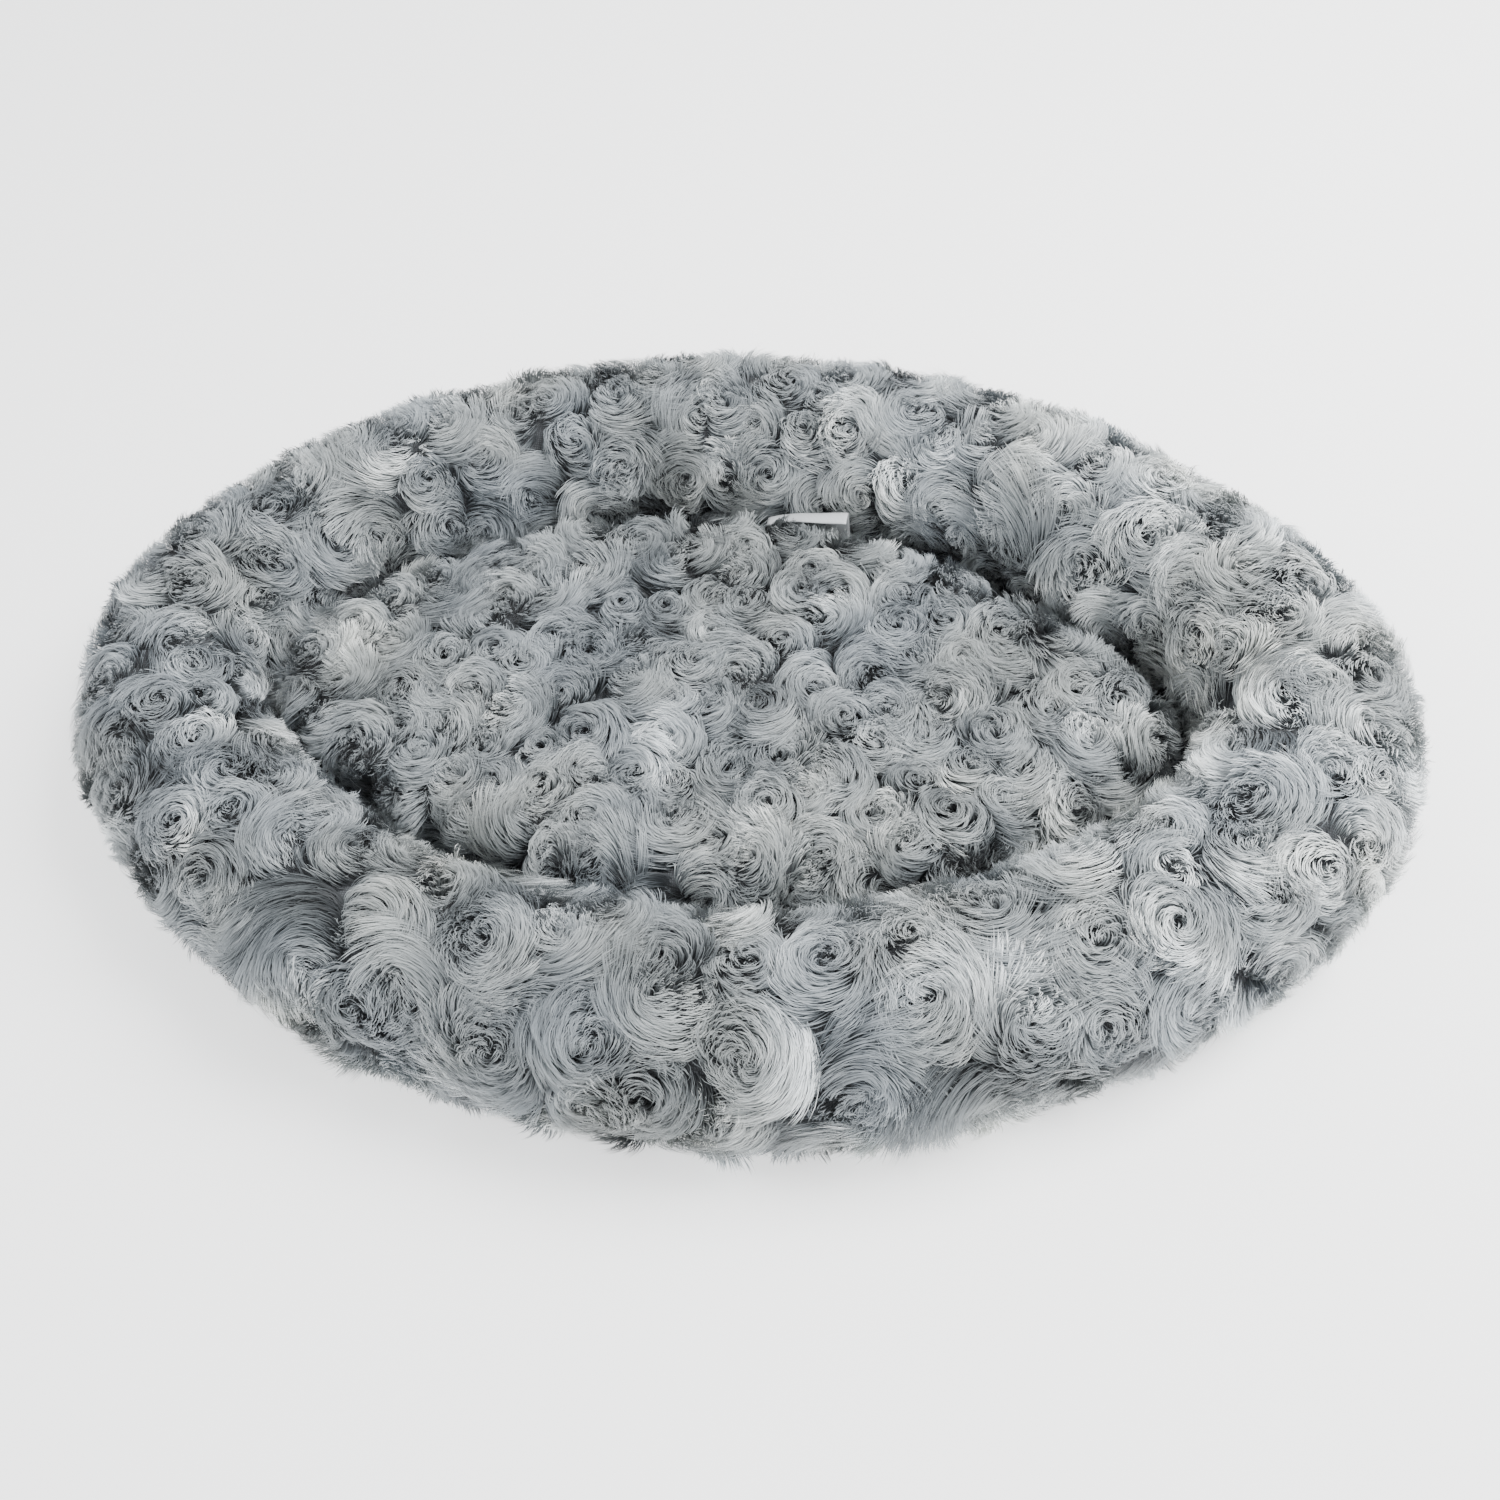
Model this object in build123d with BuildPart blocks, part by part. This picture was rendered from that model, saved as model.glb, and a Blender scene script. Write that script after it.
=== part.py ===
"""Oval pet cushion bed.

A stuffed plush bolster ring is sewn onto an oval base panel, and a loose plush cushion lies in the
well inside it. X runs along the bed's length, Y to its back and Z up from the floor it rests on.
The origin is under the middle of the bed. Plush covers are modelled with their pile.
"""

import os
from math import atan2, degrees

from build123d import *

# Overall size
BED_LENGTH = 700.0
BED_WIDTH = 470.0
BED_HEIGHT = 90.0

# Bolster tube: an arch on two feet, widest at its waist
TUBE_WIDTH = 110.0
WAIST_HEIGHT = 40.0
FOOT_HALF_WIDTH = 38.0

# Fabrics
PLUSH_THICKNESS = 10.0
BASE_THICKNESS = 1.5
UNDERSIDE_THICKNESS = 1.2
LABEL_THICKNESS = 0.5
LAYER_GAP = 0.2

# Seam allowances, folded flat and bound with tape
BINDING_WIDTH = 6.0
BINDING_HEIGHT = 3.0

# Join across the bolster cover, where the two ends of its strip meet
JOIN_LENGTH = 8.0
JOIN_THICKNESS = 2.0
JOIN_GAP = 0.3

# Loose cushion
CUSHION_CLEARANCE = 1.0
CUSHION_REST_GAP = 0.4
CUSHION_TOP = 52.0
CUSHION_RIM_RADIUS = 22.0
CUSHION_FOOT_RADIUS = 9.0
CUSHION_SEAM_HEIGHT = 15.0

# Care label, sewn into the cushion's edge seam at the back
LABEL_WIDTH = 46.0
LABEL_CENTRE_X = 37.0
LABEL_TOP = 58.0

# The oval is drawn with four tangent arcs. All its outlines are offsets of the tube's centreline.
CENTRE_HALF_LENGTH = (BED_LENGTH - TUBE_WIDTH) / 2
CENTRE_HALF_WIDTH = (BED_WIDTH - TUBE_WIDTH) / 2
END_ARC_RADIUS = 110.0
END_CENTRE = CENTRE_HALF_LENGTH - END_ARC_RADIUS
SIDE_ARC_RADIUS = (
    CENTRE_HALF_LENGTH**2 + CENTRE_HALF_WIDTH**2 - 2 * CENTRE_HALF_LENGTH * END_ARC_RADIUS
) / (2 * (CENTRE_HALF_WIDTH - END_ARC_RADIUS))
SIDE_CENTRE = SIDE_ARC_RADIUS - CENTRE_HALF_WIDTH
END_HALF_ANGLE = degrees(atan2(SIDE_CENTRE, END_CENTRE))

# Offsets of the cushion's own outlines, inside the centreline
CUSHION_EDGE = -TUBE_WIDTH / 2 - CUSHION_CLEARANCE
CUSHION_CORE = CUSHION_EDGE - PLUSH_THICKNESS
CUSHION_CORE_TOP = CUSHION_TOP - PLUSH_THICKNESS
UNDERSIDE_EDGE = CUSHION_EDGE - UNDERSIDE_THICKNESS
CUSHION_BOTTOM = BASE_THICKNESS + CUSHION_REST_GAP
UNDERSIDE_TOP = CUSHION_BOTTOM + UNDERSIDE_THICKNESS

JOIN_INSET = PLUSH_THICKNESS + JOIN_GAP


def oval(offset, height=0.0):
    """The oval that lies offset outside the centreline, as a face at this height."""
    end = END_ARC_RADIUS + offset
    side = SIDE_ARC_RADIUS + offset
    end_sweep = 2 * END_HALF_ANGLE
    side_sweep = 180 - end_sweep
    with BuildSketch(Plane.XY.offset(height)) as outline:
        with BuildLine():
            CenterArc((END_CENTRE, 0), end, -END_HALF_ANGLE, end_sweep)
            CenterArc((0, -SIDE_CENTRE), side, END_HALF_ANGLE, side_sweep)
            CenterArc((-END_CENTRE, 0), end, 180 - END_HALF_ANGLE, end_sweep)
            CenterArc((0, SIDE_CENTRE), side, 180 + END_HALF_ANGLE, side_sweep)
        make_face()
    return outline.sketch


def arch(plane, inset, bottom):
    """The bolster's section on this plane, inset from its outer shape and flat at the bottom."""
    half_width = TUBE_WIDTH / 2 - inset
    foot = FOOT_HALF_WIDTH - inset
    corner = half_width - foot
    crown = BED_HEIGHT - WAIST_HEIGHT - inset
    skirt = WAIST_HEIGHT - bottom
    with BuildSketch(plane) as section:
        with BuildLine():
            EllipticalCenterArc((0, WAIST_HEIGHT), half_width, crown, 0, arc_size=180)
            EllipticalCenterArc((-foot, WAIST_HEIGHT), corner, skirt, 180, arc_size=90)
            Line((-foot, bottom), (foot, bottom))
            EllipticalCenterArc((foot, WAIST_HEIGHT), corner, skirt, 270, arc_size=90)
        make_face()
    return section.sketch


def binding_section(side, gap):
    """A seam allowance in a bottom corner of the bolster, grown by gap. Side -1 is the well's."""
    width = BINDING_WIDTH + 2 * gap
    height = BINDING_HEIGHT + 2 * gap
    edge = FOOT_HALF_WIDTH - PLUSH_THICKNESS - LAYER_GAP + gap
    with BuildSketch(RING_START) as section:
        with Locations((side * (edge - width / 2), BASE_THICKNESS + LAYER_GAP - gap + height / 2)):
            Rectangle(width, height)
    return section.sketch


def crown(inset):
    """The bolster's section at the back of the bed, above the waist only."""
    with BuildSketch(RING_BACK) as section:
        with BuildLine():
            EllipticalCenterArc(
                (0, WAIST_HEIGHT), TUBE_WIDTH / 2 - inset, BED_HEIGHT - WAIST_HEIGHT - inset, 0, arc_size=180
            )
            Line((-TUBE_WIDTH / 2 + inset, WAIST_HEIGHT), (TUBE_WIDTH / 2 - inset, WAIST_HEIGHT))
        make_face()
    return section.sketch


RING_START = Plane(origin=(CENTRE_HALF_LENGTH, 0, 0), x_dir=(1, 0, 0), z_dir=(0, -1, 0))
RING_BACK = Plane(origin=(0, CENTRE_HALF_WIDTH, 0), x_dir=(0, 1, 0), z_dir=(1, 0, 0))
RING_PATH = oval(0).wire()

os.makedirs("parts", exist_ok=True)

# Base panel: the non-slip fabric under the whole bed, out to the bolster's outer foot
with BuildPart() as base_panel:
    extrude(oval(FOOT_HALF_WIDTH), amount=BASE_THICKNESS)
base_panel.part.label = "base_panel"

# Bolster cover: one strip of plush that goes up, over and down again, open along the base panel
with BuildPart() as bolster_plush_cover:
    sweep(arch(RING_START, 0, BASE_THICKNESS), path=RING_PATH)
    sweep(arch(RING_START, PLUSH_THICKNESS, BASE_THICKNESS), path=RING_PATH, mode=Mode.SUBTRACT)
bolster_plush_cover.part.label = "bolster_plush_cover"

# The join's allowance: a band inside the cover, over the tube's crown at the back of the bed
with BuildPart() as cover_join_binding:
    extrude(crown(JOIN_INSET), amount=JOIN_LENGTH / 2, both=True)
    extrude(crown(JOIN_INSET + JOIN_THICKNESS), amount=JOIN_LENGTH / 2, both=True, mode=Mode.SUBTRACT)
cover_join_binding.part.label = "cover_join_binding"

# The room the filling leaves for that band
with BuildPart() as join_room:
    extrude(crown(0), amount=JOIN_LENGTH / 2 + JOIN_GAP, both=True)
    extrude(
        crown(JOIN_INSET + JOIN_THICKNESS + JOIN_GAP),
        amount=JOIN_LENGTH / 2 + JOIN_GAP,
        both=True,
        mode=Mode.SUBTRACT,
    )

# Bolster filling, with room for the seam allowances in its bottom corners and at the back join
fill_section = arch(RING_START, PLUSH_THICKNESS + LAYER_GAP, BASE_THICKNESS + LAYER_GAP)
fill_section -= binding_section(1, LAYER_GAP)
fill_section -= binding_section(-1, LAYER_GAP)
with BuildPart() as bolster_fibre_fill:
    sweep(fill_section, path=RING_PATH)
    add(join_room.part, mode=Mode.SUBTRACT)
bolster_fibre_fill.part.label = "bolster_fibre_fill"

# Where the cover is sewn to the base panel: outside round the bed, and inside round the well
with BuildPart() as outer_seam_binding:
    sweep(binding_section(1, 0), path=RING_PATH)
outer_seam_binding.part.label = "outer_seam_binding"

with BuildPart() as well_seam_binding:
    sweep(binding_section(-1, 0), path=RING_PATH)
well_seam_binding.part.label = "well_seam_binding"

# The space inside the cushion's plush, above the edge seam
with BuildPart() as cushion_hollow:
    extrude(oval(CUSHION_CORE, CUSHION_SEAM_HEIGHT), amount=CUSHION_CORE_TOP - CUSHION_SEAM_HEIGHT)
    fillet(cushion_hollow.faces().sort_by(Axis.Z)[-1].edges(), CUSHION_RIM_RADIUS - PLUSH_THICKNESS)

# Cushion cover: plush over the top and down round the rim to the edge seam
with BuildPart() as cushion_plush_cover:
    extrude(oval(CUSHION_EDGE, CUSHION_SEAM_HEIGHT), amount=CUSHION_TOP - CUSHION_SEAM_HEIGHT)
    fillet(cushion_plush_cover.faces().sort_by(Axis.Z)[-1].edges(), CUSHION_RIM_RADIUS)
    add(cushion_hollow.part, mode=Mode.SUBTRACT)
cushion_plush_cover.part.label = "cushion_plush_cover"

# The space above the cushion's underside panel, below the edge seam
with BuildPart() as underside_hollow:
    extrude(oval(UNDERSIDE_EDGE, UNDERSIDE_TOP), amount=CUSHION_SEAM_HEIGHT - UNDERSIDE_TOP)
    fillet(
        underside_hollow.faces().sort_by(Axis.Z)[0].edges(),
        CUSHION_FOOT_RADIUS - UNDERSIDE_THICKNESS,
    )

# Cushion underside: plain woven fabric, from the edge seam round the foot and under the filling
with BuildPart() as cushion_underside_panel:
    extrude(oval(CUSHION_EDGE, CUSHION_BOTTOM), amount=CUSHION_SEAM_HEIGHT - CUSHION_BOTTOM)
    fillet(cushion_underside_panel.faces().sort_by(Axis.Z)[0].edges(), CUSHION_FOOT_RADIUS)
    add(underside_hollow.part, mode=Mode.SUBTRACT)
cushion_underside_panel.part.label = "cushion_underside_panel"

# Cushion filling
with BuildPart() as cushion_fibre_fill:
    fill_bottom = UNDERSIDE_TOP + LAYER_GAP
    fill_top = CUSHION_CORE_TOP - LAYER_GAP
    extrude(oval(CUSHION_CORE - LAYER_GAP, fill_bottom), amount=fill_top - fill_bottom)
    fillet(cushion_fibre_fill.faces().sort_by(Axis.Z)[-1].edges(), CUSHION_RIM_RADIUS - PLUSH_THICKNESS)
    fillet(cushion_fibre_fill.faces().sort_by(Axis.Z)[0].edges(), CUSHION_FOOT_RADIUS - UNDERSIDE_THICKNESS)
cushion_fibre_fill.part.label = "cushion_fibre_fill"

# Bound allowance of the cushion's edge seam, inside the underside panel's rim
with BuildPart() as cushion_seam_binding:
    binding_top = CUSHION_SEAM_HEIGHT - LAYER_GAP
    binding_edge = UNDERSIDE_EDGE - LAYER_GAP
    extrude(oval(binding_edge, binding_top), amount=-BINDING_HEIGHT)
    extrude(oval(binding_edge - BINDING_WIDTH, binding_top), amount=-BINDING_HEIGHT, mode=Mode.SUBTRACT)
cushion_seam_binding.part.label = "cushion_seam_binding"

# Care label: a satin ribbon that stands up from the edge seam, between cushion and bolster
with BuildPart() as care_label:
    label_height = LABEL_TOP - CUSHION_SEAM_HEIGHT
    extrude(oval(CUSHION_EDGE + LABEL_THICKNESS, CUSHION_SEAM_HEIGHT), amount=label_height)
    extrude(oval(CUSHION_EDGE, CUSHION_SEAM_HEIGHT), amount=label_height, mode=Mode.SUBTRACT)
    with Locations((LABEL_CENTRE_X, CENTRE_HALF_WIDTH + CUSHION_EDGE, LABEL_TOP)):
        Box(LABEL_WIDTH, 2 * PLUSH_THICKNESS, 2 * label_height, mode=Mode.INTERSECT)
care_label.part.label = "care_label"

pieces = [
    base_panel,
    bolster_plush_cover,
    cover_join_binding,
    bolster_fibre_fill,
    outer_seam_binding,
    well_seam_binding,
    cushion_plush_cover,
    cushion_underside_panel,
    cushion_fibre_fill,
    cushion_seam_binding,
    care_label,
]
for piece in pieces:
    export_step(piece.part, f"parts/{piece.part.label}.step")
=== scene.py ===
"""The oval pet bed's looks: rosette plush on the ring and the cushion, label, base and underside cloths.

Lengths are in metres. The ring is a tube along an oval of four tangent arcs, and every surface is a
grid of points whose rows run round that oval. The pile is real: narrow ribbons grown on a lumpy
backing, swirling round rosettes.
"""

import math
from itertools import product
from types import SimpleNamespace

import bpy
import numpy as np
from mathutils import Matrix, Vector


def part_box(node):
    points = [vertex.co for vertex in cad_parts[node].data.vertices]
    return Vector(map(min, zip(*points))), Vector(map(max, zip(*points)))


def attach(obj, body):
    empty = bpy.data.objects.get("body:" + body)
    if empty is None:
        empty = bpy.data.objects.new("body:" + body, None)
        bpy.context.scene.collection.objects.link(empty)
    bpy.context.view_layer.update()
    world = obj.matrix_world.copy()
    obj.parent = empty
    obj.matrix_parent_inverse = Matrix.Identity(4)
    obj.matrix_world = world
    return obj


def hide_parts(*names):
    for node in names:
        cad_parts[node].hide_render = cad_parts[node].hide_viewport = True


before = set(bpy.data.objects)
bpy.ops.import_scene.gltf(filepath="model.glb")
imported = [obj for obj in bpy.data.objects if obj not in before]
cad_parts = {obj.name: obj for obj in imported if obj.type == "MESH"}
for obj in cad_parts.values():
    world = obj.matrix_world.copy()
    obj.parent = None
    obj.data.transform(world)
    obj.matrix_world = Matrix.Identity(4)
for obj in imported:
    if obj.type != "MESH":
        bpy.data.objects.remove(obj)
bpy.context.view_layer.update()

MM = 0.001

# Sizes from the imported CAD
_, cover_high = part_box("bolster_plush_cover")
_, base_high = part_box("base_panel")
cushion_low, cushion_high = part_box("cushion_plush_cover")
label_low, label_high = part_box("care_label")
HALF_LENGTH, BED_TOP, BASE_TOP = cover_high[0], cover_high[2], base_high[2]
CUSHION_SEAM, CUSHION_TOP = cushion_low[2], cushion_high[2]

# The ring's driving sizes, as in the CAD: half its width, half the tube's width at the waist, where it
# is widest, and the waist's height
HALF_WIDTH = 235 * MM
TUBE_HALF = 55 * MM
WAIST = 40 * MM

# The oval of the ring's centreline: an end arc of this radius, and a side arc tangent to it
END_RADIUS = 110 * MM
CENTRE_X = HALF_LENGTH - TUBE_HALF
CENTRE_Y = HALF_WIDTH - TUBE_HALF
END_CENTRE = CENTRE_X - END_RADIUS
SIDE_RADIUS = (CENTRE_X**2 + CENTRE_Y**2 - 2 * CENTRE_X * END_RADIUS) / (2 * (CENTRE_Y - END_RADIUS))
SIDE_CENTRE = SIDE_RADIUS - CENTRE_Y
END_ANGLE = math.atan2(SIDE_CENTRE, END_CENTRE)

# Outlines as offsets from the centreline
FOOT_HALF = base_high[0] - CENTRE_X
CUSHION_EDGE = cushion_high[0] - CENTRE_X

# How far toward its middle a closed panel's last row of points is drawn in
MIDDLE = 0.004

# The padding: its unevenness, and the cushion's rim at the left, what the rim gains at the right, and
# how much the cushion is crowned
LUMPS = 2.2 * MM
CUSHION_LUMPS = 1.6 * MM
RIM = 12 * MM
RIM_GAIN = 10 * MM
CROWN = 4.0 * MM

# Pile: the backing lies this deep under the CAD's outer shape, which the pile's crests reach, and no
# strand comes nearer to the floor than the gap
PILE = 11 * MM
FLOOR_GAP = 0.8 * MM

# Rosettes: seeds tried, the radius as a share of the spacing, how far a border wanders, and the
# spacings for which the strands' length and the tones' strength are given
ROSETTE_TRIES = 9000
ROSETTE_RADIUS = 0.66
BORDER_DRIFT = 3.4 * MM
LENGTH_SPACING = 26 * MM
TONE_SPACING = 25 * MM

# Strands: length in a rosette's middle and its gain toward the edge, the tightest curl's radius, the
# largest bend in radians, the share that stick out, the ribbons' widths and the width of a wisp
STRAND_LENGTH = 13.0 * MM
LENGTH_GAIN = 5.5 * MM
TIGHTEST_CURL = 3.4 * MM
LARGEST_BEND = 2.1
FLYAWAYS = 0.04
RIBBON_WIDTHS = (0.30 * MM, 0.54 * MM)
WISP_SIZE = 3.6 * MM
STRANDS_PER_PIECE = 28000

# Shares of the way up a strand, and the corners of its ribbon: two at each step and one at the tip
STEPS = np.linspace(0, 1, 5)
RIBBON_CORNERS = 2 * len(STEPS) - 1


def rise(value, start, width):
    """0 up to the start, then rising evenly to 1 over the width."""
    return np.clip((value - start) / width, 0, 1)


def right_share(x):
    """0 over the bed's left and middle, rising to 1 at its right, where the crease is open and deep."""
    return rise(x, -20 * MM, 180 * MM)


def front_share(y, start, width):
    """0 up to this distance in front of the bed's middle, then rising to 1 over the width."""
    return rise(-y, start, width)


def unit(vectors, least=1e-12):
    """Vectors made one long; those shorter than the least length stay short."""
    return vectors / np.maximum(np.linalg.norm(vectors, axis=1), least)[:, None]


def along_surface(vectors, normal):
    """Vectors without their part along the surface's normal."""
    return vectors - (vectors * normal).sum(1)[:, None] * normal


def oval_point(angle, offset):
    """The points of the oval at this offset whose outward normals have these angles."""
    c, s = np.cos(angle), np.sin(angle)
    at_end = np.abs(s) < math.sin(END_ANGLE)
    end, side = END_RADIUS + offset, SIDE_RADIUS + offset
    x = np.where(at_end, np.sign(c) * END_CENTRE + end * c, side * c)
    y = np.where(at_end, end * s, -np.sign(s) * SIDE_CENTRE + side * s)
    return x, y


def oval_distance(x, y):
    """How far outside the centreline's oval a point lies, negative inside it."""
    ax, ay = np.abs(x), np.abs(y)
    end = np.hypot(ax - END_CENTRE, ay) - END_RADIUS
    side = np.hypot(ax, ay + SIDE_CENTRE) - SIDE_RADIUS
    in_end = ay * END_CENTRE < (ax - END_CENTRE) * SIDE_CENTRE
    return np.where(in_end, end, side)


def path_lengths(points):
    """The distance along a path at each of its points, from 0."""
    return np.concatenate([[0], np.cumsum(np.hypot(*np.diff(points, axis=0).T))])


def even_angles(count):
    """Normal angles at even steps of arc length along the centreline."""
    fine = np.linspace(0, 2 * np.pi, 8001)
    length = path_lengths(np.stack(oval_point(fine, 0.0), -1))
    return np.interp(np.linspace(0, length[-1], count, endpoint=False), length, fine)


def smooth_noise(points, scale, seed, waves=7):
    """Low, smooth, repeatable unevenness, mostly between -1 and 1, from a few sine waves."""
    rng = np.random.default_rng(seed)
    total = np.zeros(len(points))
    for _ in range(waves):
        way = rng.normal(size=3)
        way *= rng.uniform(0.7, 1.6) / np.linalg.norm(way) * 2 * np.pi / scale
        total += np.sin(points @ way + rng.uniform(0, 2 * np.pi))
    return total / waves * 1.6


def noise_vectors(points, scale, seed):
    """Smooth noise in each of three directions."""
    return np.stack([smooth_noise(points, scale, seed + k) for k in range(3)], -1)


def row(x, y, z):
    """One row of a grid of points, at one height or a height for each."""
    return np.stack(np.broadcast_arrays(x, y, z), -1)


def grid_faces(rows, columns, loop=True):
    """Quads of a grid of points, whose rows close into loops or stay open."""
    r, c = np.meshgrid(np.arange(rows - 1), np.arange(columns if loop else columns - 1), indexing="ij")
    right = (c + 1) % columns
    here, above = r * columns, (r + 1) * columns
    return np.stack([here + c, here + right, above + right, above + c], -1).reshape(-1, 4)


def grid_normals(points):
    """Outward normals of a grid of looped rows, flattened."""
    along = np.roll(points, -1, axis=1) - np.roll(points, 1, axis=1)
    across = np.gradient(points, axis=0)
    return unit(np.cross(along, across).reshape(-1, 3))


def add_mesh(name, points, faces):
    """A smooth mesh object from arrays of points and faces that all have as many corners."""
    mesh = bpy.data.meshes.new(name)
    mesh.vertices.add(len(points))
    mesh.vertices.foreach_set("co", np.asarray(points, np.float32).ravel())
    mesh.loops.add(faces.size)
    mesh.loops.foreach_set("vertex_index", np.asarray(faces, np.int32).ravel())
    mesh.polygons.add(len(faces))
    mesh.polygons.foreach_set("loop_start", np.arange(len(faces), dtype=np.int32) * faces.shape[1])
    mesh.update(calc_edges=True)
    mesh.polygons.foreach_set("use_smooth", np.ones(len(faces), bool))
    obj = bpy.data.objects.new(name, mesh)
    bpy.context.scene.collection.objects.link(obj)
    return obj


def tube_section(inset, bottom):
    """Points (across, height) of the ring's section, from the outer foot over the crown to the inner."""
    half, foot = TUBE_HALF - inset, FOOT_HALF - inset
    crown, skirt = BED_TOP - WAIST - inset, WAIST - bottom
    lower = [
        (foot + (half - foot) * math.sin(turn), WAIST - skirt * math.cos(turn))
        for turn in np.linspace(0, np.pi / 2, 9)[:-1]
    ]
    arch = [(half * math.cos(turn), WAIST + crown * math.sin(turn)) for turn in np.linspace(0, np.pi, 48)]
    return np.array(lower + arch + [(-across, height) for across, height in reversed(lower)])


def bolster_surface(inset, rows=72, columns=480):
    """Points of the ring's lumpy skin, in rows from its outer foot over the crown to the well's foot."""
    bottom = BASE_TOP + 0.5 * MM
    section = tube_section(inset, bottom)
    length = path_lengths(section)
    even = np.linspace(0, length[-1], rows)
    across, height = (np.interp(even, length, values) for values in section.T)
    angle = even_angles(columns)
    points = np.array([row(*oval_point(angle, offset), z) for offset, z in zip(across, height)])
    flat = points.reshape(-1, 3)
    lift = rise(flat[:, 2], bottom, 20 * MM)
    unevenness = smooth_noise(flat, 160 * MM, 11) * 0.6 + smooth_noise(flat, 75 * MM, 12) * 0.4
    push = LUMPS * lift * unevenness - LUMPS * 0.6 * lift
    return (flat + grid_normals(points) * push[:, None]).reshape(points.shape)


def cushion_surface(inset, columns=360):
    """Points of the cushion's skin, in rows from its seam, up the wall, over the rim and to the middle."""
    edge, top = CUSHION_EDGE - inset, CUSHION_TOP - inset
    ox, oy = oval_point(even_angles(columns), edge)
    rim = RIM - 0.4 * inset + RIM_GAIN * right_share(ox)
    half_width = CENTRE_Y / 1.45  # about the cushion's own
    rows = [row(ox, oy, CUSHION_SEAM + (top - rim - CUSHION_SEAM) * t) for t in np.linspace(0, 1, 6)[:-1]]
    shares = [1 - rim * (1 - math.cos(turn)) / half_width for turn in np.linspace(0, np.pi / 2, 12)]
    shares += [shares[-1] * (1 - t) + MIDDLE * t for t in np.linspace(0, 1, 46)[1:]]
    for share in shares:
        x, y = ox * share, oy * share
        near = 1 - rise(edge - oval_distance(x, y), 0, rim)
        rows.append(row(x, y, top - rim + rim * np.sqrt(1 - near**2)))
    points = np.array(rows)
    flat = points.reshape(-1, 3)
    depth = np.maximum(edge - oval_distance(flat[:, 0], flat[:, 1]), 0)
    flat[:, 2] += CROWN * (1 - np.exp(-depth / (45 * MM)))
    flat[:, 2] += (CUSHION_LUMPS * smooth_noise(flat, 120 * MM, 21) - 1.5 * MM) * rise(depth, 0, 30 * MM)
    return points


def scatter(points, faces, count, rng):
    """Random points on quads, spread by area, with smooth outward normals."""
    corners = [points[faces[:, i]] for i in range(4)]
    face_normal = np.cross(corners[2] - corners[0], corners[3] - corners[1])
    normal = np.zeros_like(points)
    for i in range(4):
        np.add.at(normal, faces[:, i], face_normal)
    normal = unit(normal)
    total = np.cumsum(np.linalg.norm(face_normal, axis=1))
    pick = np.searchsorted(total, (np.arange(count) + rng.random(count)) / count * total[-1])
    quads = faces[np.minimum(pick, len(faces) - 1)]
    u, v = rng.random(count)[:, None], rng.random(count)[:, None]
    weights = [(1 - u) * (1 - v), u * (1 - v), u * v, (1 - u) * v]
    where = sum(weight * points[quads[:, i]] for i, weight in enumerate(weights))
    facing = sum(weight * normal[quads[:, i]] for i, weight in enumerate(weights))
    return where, unit(facing)


def spread_out(points, gaps, rng):
    """Picks points in random order, none nearer to an earlier pick than its own gap; returns their rows."""
    cells = np.floor(points / gaps.max()).astype(int)
    steps = list(product((-1, 0, 1), repeat=3))
    kept, grid = [], {}
    for i in rng.permutation(len(points)):
        x, y, z = cells[i]
        near = [j for dx, dy, dz in steps for j in grid.get((x + dx, y + dy, z + dz), ())]
        if near and ((points[near] - points[i]) ** 2).sum(1).min() <= gaps[i] ** 2:
            continue
        kept.append(i)
        grid.setdefault((x, y, z), []).append(i)
    return np.array(kept)


def plant_rosettes(points, faces, spacing, rng):
    """Spreads rosettes over a surface and draws how each one's pile lies."""
    seeds, _ = scatter(points, faces, ROSETTE_TRIES, rng)
    gaps = spacing(seeds) * rng.uniform(0.86, 1.18, len(seeds))
    kept = spread_out(seeds, gaps, rng)
    count = len(kept)
    return SimpleNamespace(
        centre=seeds[kept],
        size=gaps[kept],
        turn=rng.choice([-1.0, 1.0], count, p=[0.3, 0.7]),
        tone=rng.normal(0, 1, count),
        openness=rng.uniform(0.0, 1.0, count) ** 1.5,
        lean=rng.uniform(0.22, 0.85, count),
        plumpness=rng.uniform(0.80, 1.08, count),
        drift=rng.normal(0, 0.30, (count, 3)),
    )


def nearest_three(points, rosettes, batch=4000):
    """For each point its nearest rosette, and how near it is to a border and to a corner of three.

    Distances are taken as shares of each rosette's size. Border and corner are 1 where the two or
    three nearest are equally near.
    """
    centres = rosettes.centre
    first = np.zeros(len(points), int)
    border, corner = np.zeros(len(points)), np.zeros(len(points))
    for start in range(0, len(points), batch):
        here = slice(start, start + batch)
        part = points[here]
        squared = (part**2).sum(1)[:, None] + (centres**2).sum(1)[None] - 2 * part @ centres.T
        reach = np.sqrt(np.maximum(squared, 0)) / rosettes.size[None]
        three = np.argpartition(reach, 2, axis=1)[:, :3]
        near = np.take_along_axis(reach, three, 1)
        first[here] = np.take_along_axis(three, near.argmin(1)[:, None], 1)[:, 0]
        near.sort(axis=1)
        border[here] = near[:, 0] / np.maximum(near[:, 1], 1e-9)
        corner[here] = near[:, 0] / np.maximum(near[:, 2], 1e-9)
    return first, border, corner


def hollow_share(where, corner, seed):
    """How much of a hollow there is, where the pile is thin, low and darkened with painted shade: where
    three rosettes meet, but not at every such place.
    """
    chosen = np.clip(0.60 + 1.3 * smooth_noise(where, 45 * MM, seed + 9), 0, 1)
    return rise(corner, 0.64, 0.19) * chosen


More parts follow.
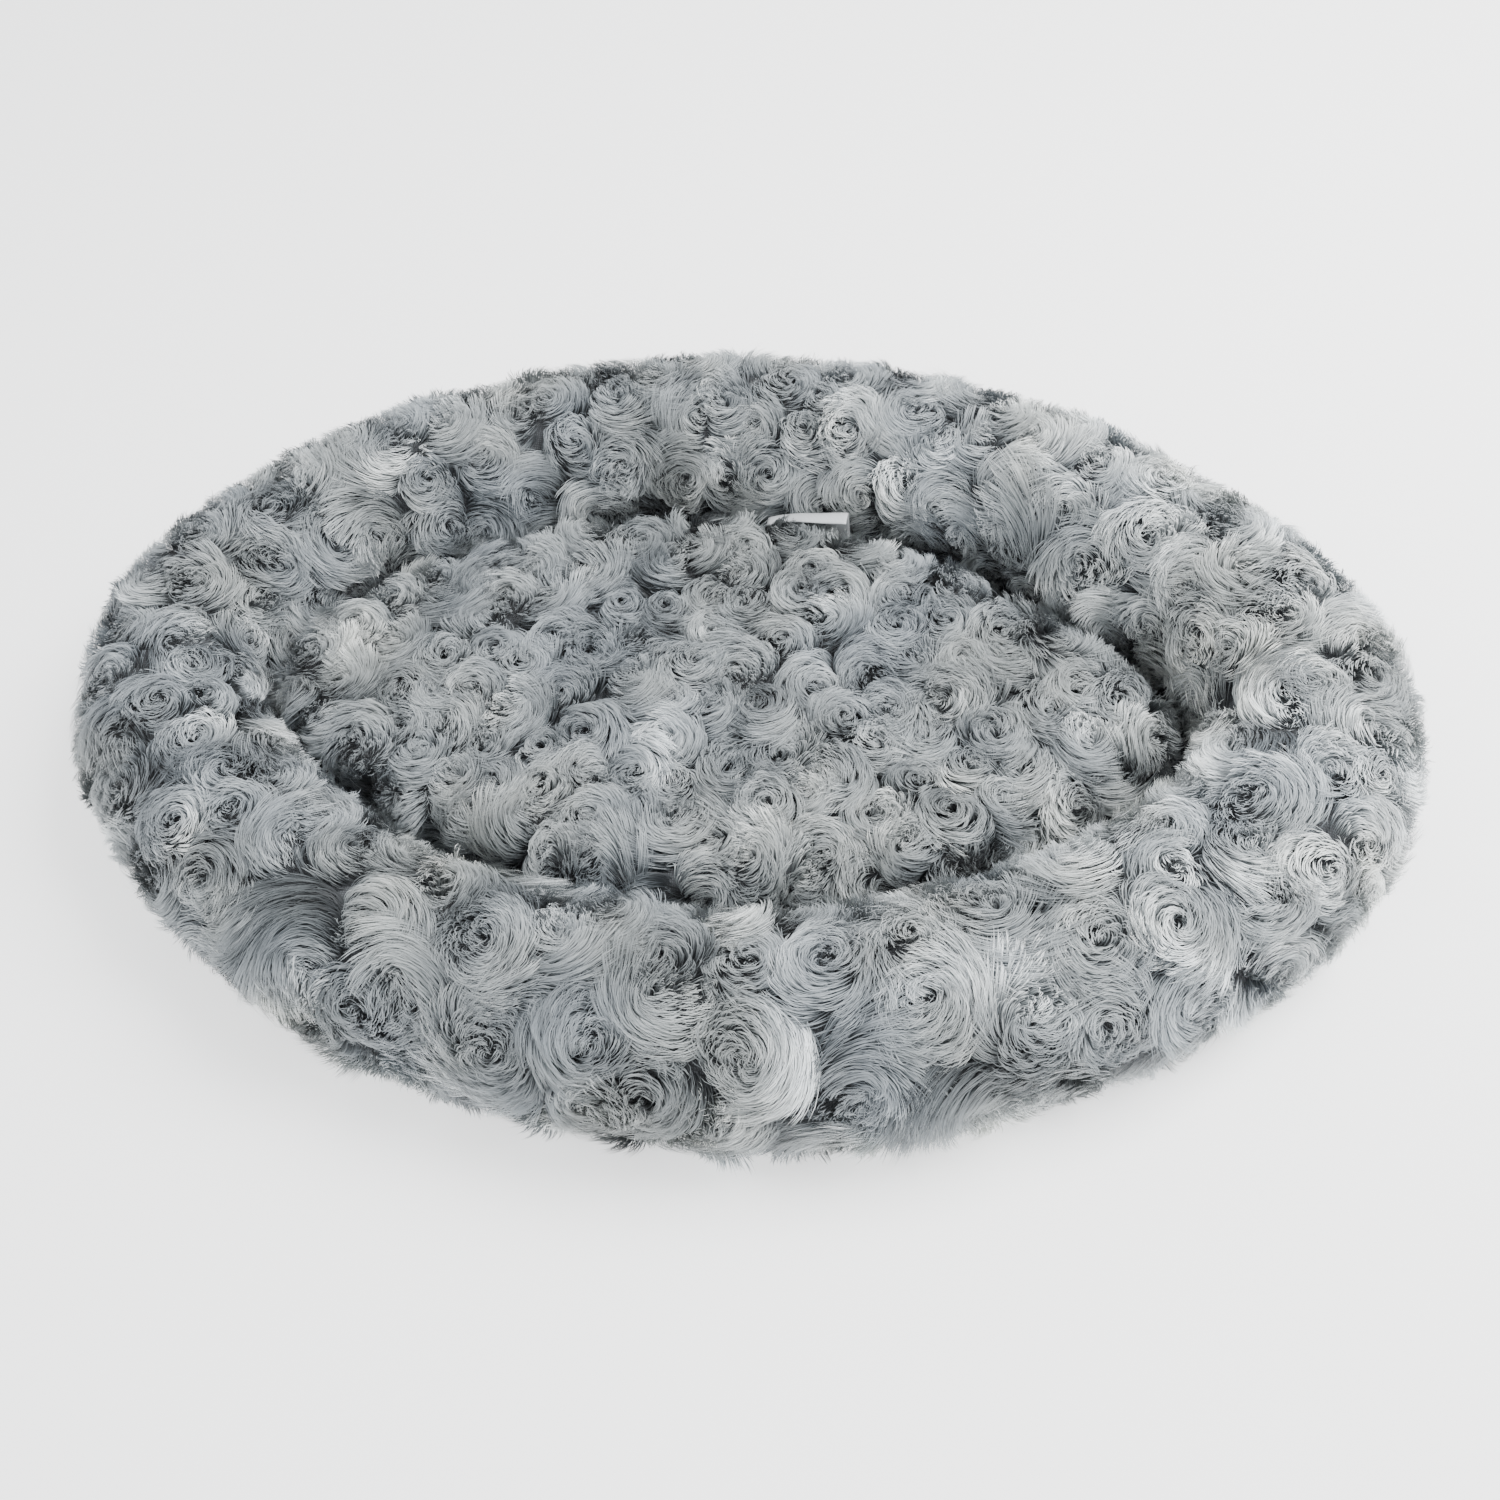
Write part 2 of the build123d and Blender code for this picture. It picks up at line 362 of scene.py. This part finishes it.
class Wisps:
    """Small uneven groups of the strands whose roots stand together."""

    def __init__(self, root, seed):
        warp = noise_vectors(root, WISP_SIZE * 5, seed + 4) * WISP_SIZE * 0.9
        cells = np.floor((root + warp) / WISP_SIZE).astype(np.int64)
        cells -= cells.min(0)
        span = cells.max(0) + 1
        number = (cells[:, 0] * span[1] + cells[:, 1]) * span[2] + cells[:, 2]
        _, self.wisp = np.unique(number, return_inverse=True)
        self.count = self.wisp.max() + 1
        self.sizes = np.bincount(self.wisp, minlength=self.count)

    def share_out(self, values):
        """One value for each wisp, given to each of its strands."""
        return values[self.wisp]

    def mean(self, vectors):
        """The mean of each wisp's vectors, given to each of its strands."""
        sums = [np.bincount(self.wisp, weights=column, minlength=self.count) for column in vectors.T]
        return self.share_out(np.stack([column / self.sizes for column in sums], -1))


def stand_strands(points, faces, count, rosettes, seed, rng):
    """Scatters strand roots over a surface and works out where in its rosette each one stands."""
    root, normal = scatter(points, faces, count, rng)
    warp = noise_vectors(root, 34 * MM, seed + 1) * BORDER_DRIFT
    rosette, border, corner = nearest_three(root + warp, rosettes)
    away = along_surface(root + warp - rosettes.centre[rosette], normal)
    radius = np.linalg.norm(away, axis=1)
    share = np.clip(radius / (rosettes.size[rosette] * ROSETTE_RADIUS), 0, 1.3)
    return SimpleNamespace(
        count=count,
        root=root,
        normal=normal,
        warp=warp,
        rosette=rosette,
        size=rosettes.size[rosette],
        radius=radius,
        outward=unit(away, 1e-6),
        share=share,
        hollow=hollow_share(root, corner, seed),
        middle=rosettes.openness[rosette] * np.exp(-((share / 0.26) ** 2)),
        edge=rise(1 - border, 0, 0.40) ** 0.6,
    )


def draw_habits(strands, rosettes, rng):
    """Draws whether each strand grows, and its height, length, bend, lean and strays.

    In hollows and open middles fewer strands grow, and they are lower.
    """
    count, share, hollow, middle = strands.count, strands.share, strands.hollow, strands.middle
    which = strands.rosette
    strands.grows = rng.random(count) > 0.85 * hollow + 0.12 * middle
    dome = (0.52 + 0.48 * strands.edge) * (1 - 0.62 * hollow) * (1 - 0.40 * middle)
    strands.height = PILE * dome * rosettes.plumpness[which] * rng.uniform(0.86, 1.08, count)
    length = (STRAND_LENGTH + LENGTH_GAIN * np.clip(share, 0, 1)) * rng.uniform(0.82, 1.12, count)
    length *= (strands.size / LENGTH_SPACING) ** 0.8 * (1 - 0.35 * hollow)
    strands.length = length
    strands.curve = np.maximum(strands.radius, TIGHTEST_CURL)
    strands.bend = np.minimum(length / strands.curve, LARGEST_BEND) * rng.normal(1, 0.06, count)
    lean = rosettes.lean[which] + rng.normal(0, 0.05, count)
    strands.lean = length * lean * np.clip(share * 1.1 - 0.1, 0, 1)
    strands.sway = along_surface(rosettes.drift[which] * length[:, None], strands.normal)
    strands.droop = np.clip(share - 0.75, 0, 0.5) * 5 * MM
    strands.stray = rng.normal(0, 0.55, (count, 3)) * MM
    strands.flyaway = (rng.random(count) < FLYAWAYS) * rng.uniform(0.5, 2.4, count) * MM


def grow_spines(strands, rosettes, wisps, rng):
    """The strands' middle lines: they rise, swirl round their rosette and gather into wisps."""
    root, normal, outward = strands.root, strands.normal, strands.outward
    around = np.cross(normal, outward) * rosettes.turn[strands.rosette][:, None]
    gather = wisps.share_out(rng.uniform(0.18, 0.52, wisps.count))
    length = strands.length * wisps.share_out(rng.uniform(0.84, 1.12, wisps.count))
    wisp_stray = wisps.share_out(rng.normal(0, 0.09, (wisps.count, 3))) * length[:, None]
    spine = []
    for t in STEPS:
        turn = strands.bend * t**1.1
        move = around * (strands.curve * np.sin(turn))[:, None]
        move -= outward * (strands.curve * (1 - np.cos(turn)))[:, None]
        move += outward * (strands.lean * t)[:, None] + strands.sway * t**1.3 + wisp_stray * t**1.6
        up = strands.height * math.sin(math.pi / 2 * min(1, t * 1.35)) - strands.droop * t**2
        place = root + move + normal * up[:, None]
        place += (wisps.mean(place) - place) * (gather * t**1.6)[:, None]
        spine.append(place + strands.stray * t**1.5 + normal * (strands.flyaway * t**2)[:, None])
    spine = np.array(spine)
    spine[..., 2] = np.maximum(spine[..., 2], FLOOR_GAP)
    return spine


def cross_hollows(strands, rosettes, spine, seed, rng):
    """Finds the strands that lie over another place's hollow, and thins them out; their tone is later
    darkened there with painted shade.
    """
    over = spine[-2] - strands.normal * strands.height[:, None]
    _, _, corner = nearest_three(over + strands.warp, rosettes)
    strands.crossing = hollow_share(over, corner, seed)
    strands.grows &= rng.random(strands.count) > 0.90 * strands.crossing


def ribbon_points(strands, wisps, spine, rng):
    """The corners of each strand's narrow ribbon: a pair at each step, and its tip."""
    width = rng.uniform(*RIBBON_WIDTHS, strands.count)
    tilt = wisps.share_out(rng.normal(0, 0.12, wisps.count)) + rng.normal(0, 0.10, strands.count)
    rows = []
    for i, t in enumerate(STEPS[:-1]):
        side = unit(np.cross(spine[i + 1] - spine[max(i - 1, 0)], strands.normal), 1e-9)
        side = side * np.cos(tilt)[:, None] + strands.normal * np.sin(tilt)[:, None]
        half = (width * 0.5 * (1 - 0.55 * t**2))[:, None]
        rows += [spine[i] + side * half, spine[i] - side * half]
    return np.stack([*rows, spine[-1]], 1)


def ribbon_triangles():
    """The triangles of one ribbon: two between each pair of corners and the next, and one at the tip."""
    triangles = []
    for a in range(0, RIBBON_CORNERS - 3, 2):
        triangles += [(a, a + 1, a + 3), (a, a + 3, a + 2)]
    triangles.append((RIBBON_CORNERS - 3, RIBBON_CORNERS - 2, RIBBON_CORNERS - 1))
    return np.array(triangles)


def draw_shades(strands, rosettes, wisps, base_shade, seed, rng):
    """Each strand's tone: by place, with painted light and shade, by rosette and wisp, lighter on one side
    of a rosette, and darkened with painted shade in and over hollows, in open middles and near borders.
    """
    lit_side = rng.normal(size=(len(rosettes.centre), 3))[strands.rosette]
    swept = (strands.outward * lit_side).sum(1) * np.clip(strands.share, 0, 1)
    of_rosette = (0.075 * rosettes.tone[strands.rosette] + 0.19 * swept) * strands.size / TONE_SPACING
    shade = base_shade(strands.root) + of_rosette + rng.normal(0, 0.022, strands.count)
    shade += wisps.share_out(rng.normal(0, 0.038, wisps.count))
    shade += 0.16 * smooth_noise(strands.root, 60 * MM, seed + 8)
    # Painted shade: strands in and over hollows, in open middles and near rosettes' borders are darkened,
    # besides the dark backing that shows where the pile is thin.
    shade -= 0.50 * strands.hollow + 0.22 * strands.crossing + 0.20 * strands.middle
    shade -= 0.04 * (1 - strands.edge)
    return shade


def pile_colours(shade):
    """The pile's vertex colours: how far up its strand a corner is in red, and the tone, with its painted
    light and shade, in green.
    """
    colour = np.zeros((len(shade), RIBBON_CORNERS, 4), np.float32)
    colour[..., 0] = np.append(np.repeat(STEPS[:-1], 2), 1.0)
    colour[..., 1] = np.clip(0.5 + shade, 0, 1)[:, None]
    colour[..., 3] = 1
    return colour


def grow_pile(name, body, points, faces, count, spacing, seed, base_shade):
    """Covers a surface with swirling rosettes of pile, in pieces that follow each other round the bed.

    Each strand is a narrow ribbon that rises from the backing, leans out from its rosette's
    middle and follows its swirl. Strands close together gather into wisps. Pile is short and
    sparse where three rosettes meet, and in the middle of some rosettes, and is darkened there
    with painted shade.
    """
    rng = np.random.default_rng(seed)
    rosettes = plant_rosettes(points, faces, spacing, rng)
    strands = stand_strands(points, faces, count, rosettes, seed, rng)
    draw_habits(strands, rosettes, rng)
    wisps = Wisps(strands.root, seed)
    spine = grow_spines(strands, rosettes, wisps, rng)
    cross_hollows(strands, rosettes, spine, seed, rng)
    corners = ribbon_points(strands, wisps, spine, rng)
    colours = pile_colours(draw_shades(strands, rosettes, wisps, base_shade, seed, rng))

    ribbon = ribbon_triangles()
    angle = np.arctan2(strands.root[:, 1] / HALF_WIDTH, strands.root[:, 0] / HALF_LENGTH)
    order = np.argsort(angle, kind="stable")
    order = order[strands.grows[order]]
    for number, start in enumerate(range(0, len(order), STRANDS_PER_PIECE)):
        mine = order[start : start + STRANDS_PER_PIECE]
        triangles = np.arange(len(mine))[:, None, None] * RIBBON_CORNERS + ribbon[None]
        obj = add_mesh(f"{name}_{number + 1:02d}", corners[mine].reshape(-1, 3), triangles.reshape(-1, 3))
        layer = obj.data.color_attributes.new("pile", "FLOAT_COLOR", "POINT")
        layer.data.foreach_set("color", colours[mine].ravel())
        obj.data.materials.append(PLUSH)
        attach(obj, body)


def new_material(name):
    """A node material, its node tree and its Principled shader."""
    material = bpy.data.materials.new(name)
    material.use_nodes = True
    tree = material.node_tree
    return material, tree, tree.nodes["Principled BSDF"]


def object_place(tree):
    """The socket with a point's place in its object's own coordinates."""
    return tree.nodes.new("ShaderNodeTexCoord").outputs["Object"]


def texture(tree, kind, place, **values):
    """A texture node at this place, with these input values."""
    node = tree.nodes.new(kind)
    for name, value in values.items():
        node.inputs[name].default_value = value
    tree.links.new(place, node.inputs["Vector"])
    return node


def ramp(tree, stops, factor):
    """A colour ramp with these (position, colour) stops, driven by factor."""
    node = tree.nodes.new("ShaderNodeValToRGB")
    elements = node.color_ramp.elements
    while len(elements) < len(stops):
        elements.new(0.5)
    for element, (position, colour) in zip(elements, stops):
        element.position = position
        element.color = (*colour, 1)
    tree.links.new(factor, node.inputs["Fac"])
    return node.outputs["Color"]


def maths(tree, operation, a, b):
    """A Math node on two sockets or numbers."""
    node = tree.nodes.new("ShaderNodeMath")
    node.operation = operation
    for socket, value in zip(node.inputs, (a, b)):
        if isinstance(value, (int, float)):
            socket.default_value = value
        else:
            tree.links.new(value, socket)
    return node.outputs[0]


def pile_material():
    """Frosted pile: charcoal roots, silver-grey lengths and pale tips, with a tint that wanders."""
    material, tree, shader = new_material("rosette pile")
    attribute = tree.nodes.new("ShaderNodeAttribute")
    attribute.attribute_name = "pile"
    split = tree.nodes.new("ShaderNodeSeparateColor")
    tree.links.new(attribute.outputs["Color"], split.inputs["Color"])
    along, shade, _ = split.outputs
    # The tone holds the painted light and shade as well as the pile's own tones.
    bright = maths(tree, "MULTIPLY", maths(tree, "SUBTRACT", shade, 0.42), 0.95)
    level = maths(tree, "ADD", maths(tree, "MULTIPLY", maths(tree, "POWER", along, 0.65), 0.70), bright)
    greys = [
        (0.00, (0.018, 0.021, 0.024)),
        (0.18, (0.085, 0.094, 0.101)),
        (0.44, (0.222, 0.237, 0.247)),
        (0.76, (0.380, 0.395, 0.400)),
        (1.00, (0.860, 0.865, 0.855)),
    ]
    drift = texture(tree, "ShaderNodeTexNoise", object_place(tree), Scale=14, Detail=2)
    tints = [(0.36, (0.95, 1.00, 1.04)), (0.64, (1.00, 1.015, 0.98))]
    mix = tree.nodes.new("ShaderNodeMix")
    mix.data_type = "RGBA"
    mix.blend_type = "MULTIPLY"
    mix.inputs["Factor"].default_value = 1
    tree.links.new(ramp(tree, greys, level), mix.inputs["A"])
    tree.links.new(ramp(tree, tints, drift.outputs["Fac"]), mix.inputs["B"])
    tree.links.new(mix.outputs["Result"], shader.inputs["Base Color"])
    shader.inputs["Roughness"].default_value = 0.55
    shader.inputs["Specular IOR Level"].default_value = 0.35
    shader.inputs["Sheen Weight"].default_value = 0.12
    return material


def fabric_material(name, dark, light, scale, bump=0.25):
    """Woven cloth: two crossed fine waves for the threads, and a slow noise for wear and dust."""
    material, tree, shader = new_material(name)
    place = object_place(tree)
    threads = []
    for direction in ("X", "Y"):
        wave = texture(tree, "ShaderNodeTexWave", place, Scale=scale, Distortion=1.2, Detail=1)
        wave.bands_direction = direction
        threads.append(wave.outputs["Fac"])
    weave = maths(tree, "MULTIPLY", *threads)
    wear = texture(tree, "ShaderNodeTexNoise", place, Scale=22, Detail=4).outputs["Fac"]
    level = maths(tree, "ADD", maths(tree, "MULTIPLY", weave, 0.6), maths(tree, "MULTIPLY", wear, 0.5))
    tree.links.new(ramp(tree, [(0.15, dark), (0.85, light)], level), shader.inputs["Base Color"])
    relief = tree.nodes.new("ShaderNodeBump")
    relief.inputs["Strength"].default_value = bump
    relief.inputs["Distance"].default_value = 0.6 * MM
    tree.links.new(weave, relief.inputs["Height"])
    tree.links.new(relief.outputs["Normal"], shader.inputs["Normal"])
    shader.inputs["Roughness"].default_value = 0.85
    shader.inputs["Sheen Weight"].default_value = 0.1
    return material


def satin_material():
    """The label's pale satin, with fine ribs, greyed with painted shade for the crease it stands in."""
    material, tree, shader = new_material("label satin")
    ribs = texture(tree, "ShaderNodeTexWave", object_place(tree), Scale=420).outputs["Fac"]
    # Painted shade: the satin is kept a mid grey for the shade of the crease it stands in.
    greys = [(0, (0.38, 0.40, 0.41)), (1, (0.52, 0.54, 0.55))]
    tree.links.new(ramp(tree, greys, ribs), shader.inputs["Base Color"])
    shader.inputs["Roughness"].default_value = 0.38
    shader.inputs["Sheen Weight"].default_value = 0.3
    return material


BACKING = fabric_material("plush backing", (0.020, 0.022, 0.025), (0.070, 0.076, 0.083), 260)
PLUSH = pile_material()


def plush_skin(name, grid, body, nodes):
    """A stuffed part's backing fabric, in place of its CAD cover and filling; returns points and faces."""
    points = grid.reshape(-1, 3)
    faces = grid_faces(*grid.shape[:2])
    skin = add_mesh(name, points, faces)
    skin.data.materials.append(BACKING)
    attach(skin, body)
    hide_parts(*nodes)
    return points, faces


def painted_crease_shade(x):
    """How much painted shade darkens the pile deep in the crease: most at the right, where it is open."""
    return 0.05 + 0.32 * right_share(x)


def make_bolster():
    """The ring's skin and pile: larger rosettes at the front, and painted light that makes the pile lighter
    at the right.
    """
    nodes = ("bolster_plush_cover", "bolster_fibre_fill")
    skin = plush_skin("bolster_backing", bolster_surface(PILE), "bolster_and_base", nodes)

    def spacing(where):
        return (23.5 + 10.5 * front_share(where[:, 1], 100 * MM, 100 * MM)) * MM

    def shade(where):
        x, y, z = where.T
        # Painted light: the pile is made lighter toward the right, where the key light falls, and a little
        # darker toward the front.
        right = rise(x, -50 * MM, 350 * MM)
        low = 1 - rise(z, 0, 45 * MM)
        # Painted light low on the ring: the outer foot is made lighter, as if lit by light bounced from the
        # floor, and the foot inside the well is darkened with painted crease shade.
        foot = np.where(oval_distance(x, y) < 0, -painted_crease_shade(x), 0.22)
        return -0.055 - 0.06 * front_share(y, 80 * MM, 100 * MM) + 0.25 * right + foot * low

    count = 280000
    grow_pile("bolster_pile", "bolster_and_base", *skin, count, spacing, 31, shade)


def make_cushion():
    """The loose cushion's skin and pile, of one rosette size and one tone but for the painted shade in the
    crease.
    """
    nodes = ("cushion_plush_cover", "cushion_fibre_fill")
    skin = plush_skin("cushion_backing", cushion_surface(PILE), "cushion", nodes)

    def spacing(where):
        return np.full(len(where), 22.5 * MM)

    def shade(where):
        # Painted shade: the pile low on the cushion's wall is darkened for the crease, most at the right.
        low = 1 - rise(where[:, 2], CUSHION_SEAM, 20 * MM)
        return -0.110 - painted_crease_shade(where[:, 0]) * low

    count = 120000
    grow_pile("cushion_pile", "cushion", *skin, count, spacing, 57, shade)


def label_surface(rows=22, columns=28):
    """Points of the care label: up the crease's wall, then forward over the cushion's pile.

    Its left end is buried in the pile and its right end stands free.
    """
    x = np.linspace(label_low[0], label_high[0], columns)
    across = (x - x[0]) / (x[-1] - x[0])
    foot = CUSHION_SEAM + 8 * MM
    crest = CUSHION_TOP - 0.8 * MM - 13 * MM * (1 - across) ** 1.3
    wall = oval_point(np.arccos(x / (SIDE_RADIUS + CUSHION_EDGE)), CUSHION_EDGE + 0.5 * MM)[1]
    fold = 0.72  # the share of the label's rows that stand before it leans forward
    grid = []
    for t in np.linspace(0, 1, rows):
        upright, laid = min(t / fold, 1.0), max(t - fold, 0) / (1 - fold)
        ripple = 0.5 * MM * np.sin(across * 7) * upright
        y = wall - 9.5 * MM * laid**1.15 * (0.8 + 0.2 * across) + ripple
        curl = 2.2 * MM * math.sin(laid * 1.5) + 0.5 * MM * np.sin(across * 5) * laid
        grid.append(row(x, y, foot + (crest - foot) * upright + curl))
    return np.array(grid)


def make_label():
    """The blank care label: a satin ribbon of two layers that comes out of the crease."""
    grid = label_surface()
    rows, columns = grid.shape[:2]
    label = add_mesh("care_label_ribbon", grid.reshape(-1, 3), grid_faces(rows, columns, loop=False))
    layers = label.modifiers.new("two layers", "SOLIDIFY")
    layers.thickness = 0.7 * MM
    label.data.materials.append(satin_material())
    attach(label, "cushion")
    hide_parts("care_label")


def cloth_sheet(name, grid, thickness, material, body, node):
    """A thin cloth mesh in place of a CAD panel."""
    points = grid.reshape(-1, 3)
    faces = grid_faces(*grid.shape[:2])
    cloth = add_mesh(name, points, faces)
    layer = cloth.modifiers.new("thickness", "SOLIDIFY")
    layer.thickness = thickness
    layer.offset = 0
    cloth.data.materials.append(material)
    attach(cloth, body)
    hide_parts(node)


def make_base_cloth():
    """The woven base under the ring and the well, with slack ripples in the well."""
    x, y = oval_point(even_angles(240), FOOT_HALF - 0.3 * MM)
    grid = np.array([row(x * share, y * share, 0.0) for share in np.linspace(1, MIDDLE, 60)])
    flat = grid.reshape(-1, 3)
    slack = rise(-oval_distance(flat[:, 0], flat[:, 1]), FOOT_HALF, 30 * MM)
    flat[:, 2] = BASE_TOP * 0.5 + 0.30 * MM * smooth_noise(flat, 55 * MM, 71) * slack
    cloth = fabric_material("base cloth", (0.020, 0.022, 0.024), (0.075, 0.080, 0.085), 420, bump=0.5)
    cloth_sheet("base_cloth", grid, 0.8 * MM, cloth, "bolster_and_base", "base_panel")


def underside_surface():
    """Points of the cushion's underside: puckered below the seam, rounded in to a soft flat bottom."""
    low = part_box("cushion_underside_panel")[0][2]
    edge, foot, pucker_depth = CUSHION_EDGE - 0.6 * MM, 9 * MM, 1.0 * MM
    angle = even_angles(480)
    rng = np.random.default_rng(91)
    full_turn = 6.28  # radians, in which each of the puckers' waves starts anywhere
    pucker = sum(np.sin(angle * waves + rng.uniform(0, full_turn)) for waves in (97, 131, 173)) / 3
    wall = [(0.0, z) for z in np.linspace(CUSHION_SEAM, low + foot, 5)[:-1]]
    for turn in np.linspace(0, math.pi / 2, 7):
        wall.append((foot * (1 - math.cos(turn)), low + foot * (1 - math.sin(turn))))
    grid = []
    for inward, z in wall:
        gathered = rise(z, low, CUSHION_SEAM - low) * (0.55 + 0.45 * pucker)
        grid.append(row(*oval_point(angle, edge - inward - pucker_depth * gathered), z))
    x, y = oval_point(angle, edge - foot)
    for share in np.linspace(1, MIDDLE, 40)[1:]:
        flat = row(x * share, y * share, 0.0)
        flat[:, 2] = low + 0.5 * MM + 0.9 * MM * (1 - share) + 0.35 * MM * smooth_noise(flat, 60 * MM, 92)
        grid.append(flat)
    return np.array(grid)


def make_underside():
    """The cloth that closes the cushion below."""
    cloth = fabric_material("underside cloth", (0.030, 0.032, 0.035), (0.095, 0.100, 0.106), 420, bump=0.5)
    node, slot = "cushion_underside_panel", "underside_fabric"
    cloth_sheet("underside_cloth", underside_surface(), 0.6 * MM, cloth, "cushion", node)


def dress_bindings():
    """Woven tape for the CAD nodes that stay: the bindings hidden in the seams."""
    tape = fabric_material("binding tape", (0.022, 0.024, 0.026), (0.085, 0.090, 0.095), 700)
    for node in ("outer_seam_binding", "well_seam_binding", "cover_join_binding", "cushion_seam_binding"):
        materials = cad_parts[node].data.materials
        materials.clear()
        materials.append(tape)


def make_floor():
    """A plain pale floor."""
    bpy.ops.mesh.primitive_plane_add(size=40, location=(0, 0, 0))
    floor = bpy.context.object
    floor.name = "floor"
    material, _, shader = new_material("studio floor")
    shader.inputs["Base Color"].default_value = (0.93, 0.93, 0.93, 1)
    shader.inputs["Emission Color"].default_value = (1, 1, 1, 1)
    shader.inputs["Emission Strength"].default_value = 0.8
    shader.inputs["Roughness"].default_value = 0.9
    floor.data.materials.append(material)


def aim(obj, place):
    """Puts an object at a place, looks at the middle of the floor and adds it to the scene."""
    obj.location = place
    obj.rotation_euler = (-Vector(place)).to_track_quat("-Z", "Y").to_euler()
    bpy.context.scene.collection.objects.link(obj)


def make_lights():
    """Even light from all round, a soft key behind at the right and a weak fill in front at the left."""
    world = bpy.data.worlds.new("studio")
    bpy.context.scene.world = world
    world.use_nodes = True
    sky = world.node_tree.nodes["Background"]
    sky.inputs["Color"].default_value = (0.97, 0.985, 1.0, 1)
    sky.inputs["Strength"].default_value = 1.62
    for name, place, energy, size in (
        ("key", (0.9, 0.35, 1.3), 50, 0.9),
        ("fill", (-1.2, -0.9, 1.3), 8, 1.4),
    ):
        lamp = bpy.data.lights.new(name, "AREA")
        lamp.energy = energy
        lamp.size = size
        aim(bpy.data.objects.new(name, lamp), place)


def make_camera():
    """A camera close above the bed's front, turned to the right of it and rolled."""
    elevation, azimuth, roll = math.radians(54.5), math.radians(20), math.radians(-12)
    distance = 0.786
    target = Vector((0, 0, 0.04))
    level = math.cos(elevation)
    back = Vector((math.sin(azimuth) * level, -math.cos(azimuth) * level, math.sin(elevation)))
    camera = bpy.data.cameras.new("camera")
    camera.sensor_width = 36
    camera.lens = 36.24
    camera.shift_x = 0.0293
    camera.shift_y = -0.0367
    camera.clip_start = 0.02
    obj = bpy.data.objects.new("camera", camera)
    look = (-back).to_track_quat("-Z", "Y").to_matrix().to_4x4()
    obj.matrix_world = Matrix.Translation(target + back * distance) @ look @ Matrix.Rotation(roll, 4, "Z")
    bpy.context.scene.collection.objects.link(obj)
    bpy.context.scene.camera = obj


make_floor()
make_lights()
make_camera()
make_bolster()
make_cushion()
make_label()
make_base_cloth()
make_underside()
dress_bindings()
